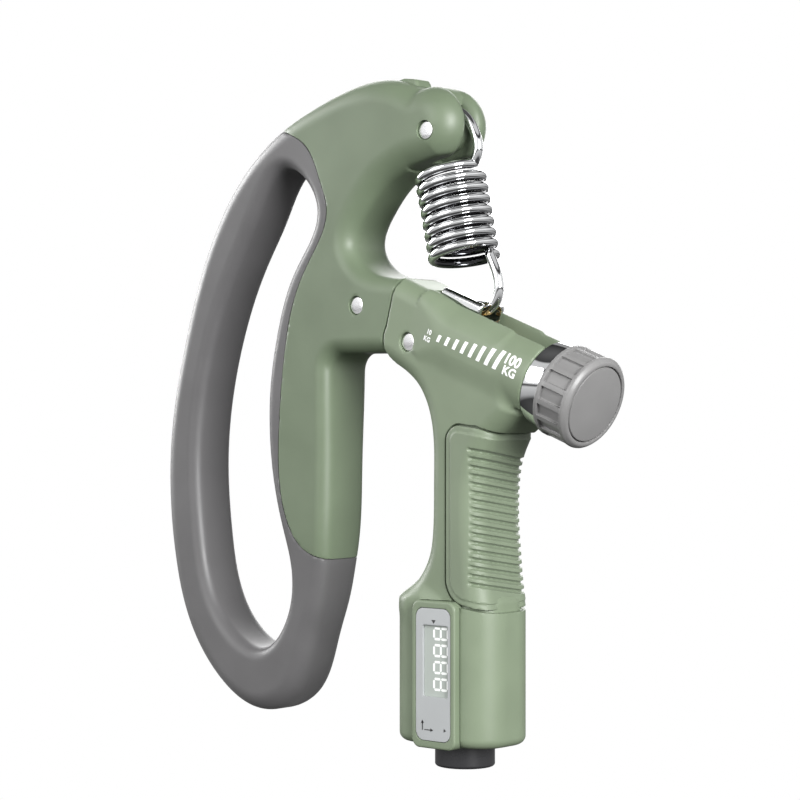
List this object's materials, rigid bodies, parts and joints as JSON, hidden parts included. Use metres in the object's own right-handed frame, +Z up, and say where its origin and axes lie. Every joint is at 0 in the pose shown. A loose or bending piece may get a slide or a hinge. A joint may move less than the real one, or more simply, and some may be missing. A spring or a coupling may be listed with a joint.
{
  "type": "hand dynamometer",
  "caption": "Sprung hand-grip strength meter: finger ring on a lever, ribbed palm handle, load knob that moves the spring along a sloping barrel, and a repetition counter window.",
  "frame": {"origin": "on the long axis of the handle, at the middle of the palm grip", "axes": "+Z up along the handle, +X from the finger ring towards the load knob, -Y the front face with the scale and the counter"},
  "size_m": [0.1493, 0.0248, 0.1766],
  "materials": {
    "green_shell": "fine spark-eroded satin texture, pale sage green",
    "green_soft": "soft-touch elastomer, the same pale sage green as the shell",
    "soft_grey": "matte soft-touch elastomer, mid grey",
    "black_trim": "fine matte texture, near black",
    "knob_grey": "satin moulded plastic, mid grey",
    "plate_silver": "satin silver label plate",
    "lcd_face": "pale grey-green display glass",
    "chrome": "bright chrome plating",
    "steel": "plain turned or pressed steel",
    "brass": "machined brass",
    "board": "solder-masked circuit board",
    "natural_nylon": "natural white nylon",
    "dark_moulding": "plain dark moulding"
  },
  "bodies": {
    "grip_handle": {"grip_pad": "green_soft", "battery_cover": "green_shell", "cover_screw": "steel", "handle_body": "green_shell", "pivot_pin": "chrome", "counter_bezel": "green_shell", "display_plate": "plate_silver", "lcd_panel": "lcd_face", "contact_strips": "dark_moulding", "circuit_board": "board", "battery_holder": "dark_moulding", "coin_cell": "steel", "reed_switch": "dark_moulding", "reset_switch": "dark_moulding", "chrome_collar": "chrome", "screw_bearing": "natural_nylon"},
    "ring_arm": {"arm_core": "green_shell", "ring_grip": "soft_grey", "tongue_plate": "steel", "count_magnet": "steel", "head_pin": "chrome", "link_pin": "chrome", "spring_bush": "natural_nylon"},
    "knob": {"load_knob": "knob_grey", "knob_cap": "knob_grey", "load_screw": "steel"},
    "carriage": {"carriage_nut": "brass", "carriage_stirrup": "chrome"},
    "spring": {"main_spring": "chrome"},
    "reset_stem": {"reset_stem": "dark_moulding", "reset_spring": "steel"},
    "reset_knob": {"reset_knob": "black_trim"}
  },
  "joints": [
    {"name": "squeeze", "type": "hinge", "parent": "grip_handle", "child": "ring_arm", "pos_m": [-0.0109, 0, 0.0446], "axis": [0, -1, 0], "range_deg": [0, 18], "stiffness_Nm_per_rad": 2, "springref_deg": -6.88, "deforming": ["main_spring"]},
    {"name": "knob_turn", "type": "hinge", "parent": "grip_handle", "child": "knob", "pos_m": [-0.01075, 0, 0.0485], "axis": [0.9336, 0, -0.3584], "range_deg": [0, 3785]},
    {"name": "carriage_travel", "type": "slide", "parent": "grip_handle", "child": "carriage", "axis": [0.9336, 0, -0.3584], "range_m": [0, 0.021]},
    {"name": "spring_swing", "type": "hinge", "parent": "ring_arm", "child": "spring", "pos_m": [-0.0052, 0, 0.0982], "axis": [0, -1, 0], "range_deg": [0, 16]},
    {"name": "reset_press", "type": "slide", "parent": "grip_handle", "child": "reset_stem", "axis": [0, 0, 1], "range_m": [0, 0.0015], "stiffness_N_per_m": 300, "springref_m": -0.001, "deforming": ["reset_spring"]},
    {"name": "reset_turn", "type": "hinge", "parent": "reset_stem", "child": "reset_knob", "pos_m": [0, 0, -0.0632], "axis": [0, 0, 1], "range_deg": [0, 45]}
  ],
  "couplings": [
    {"joint": "knob_turn", "follows": "carriage_travel", "rad_per_m": 3141.6},
    {"joint": "spring_swing", "follows": "carriage_travel", "rad_per_m": 13.2}
  ]
}
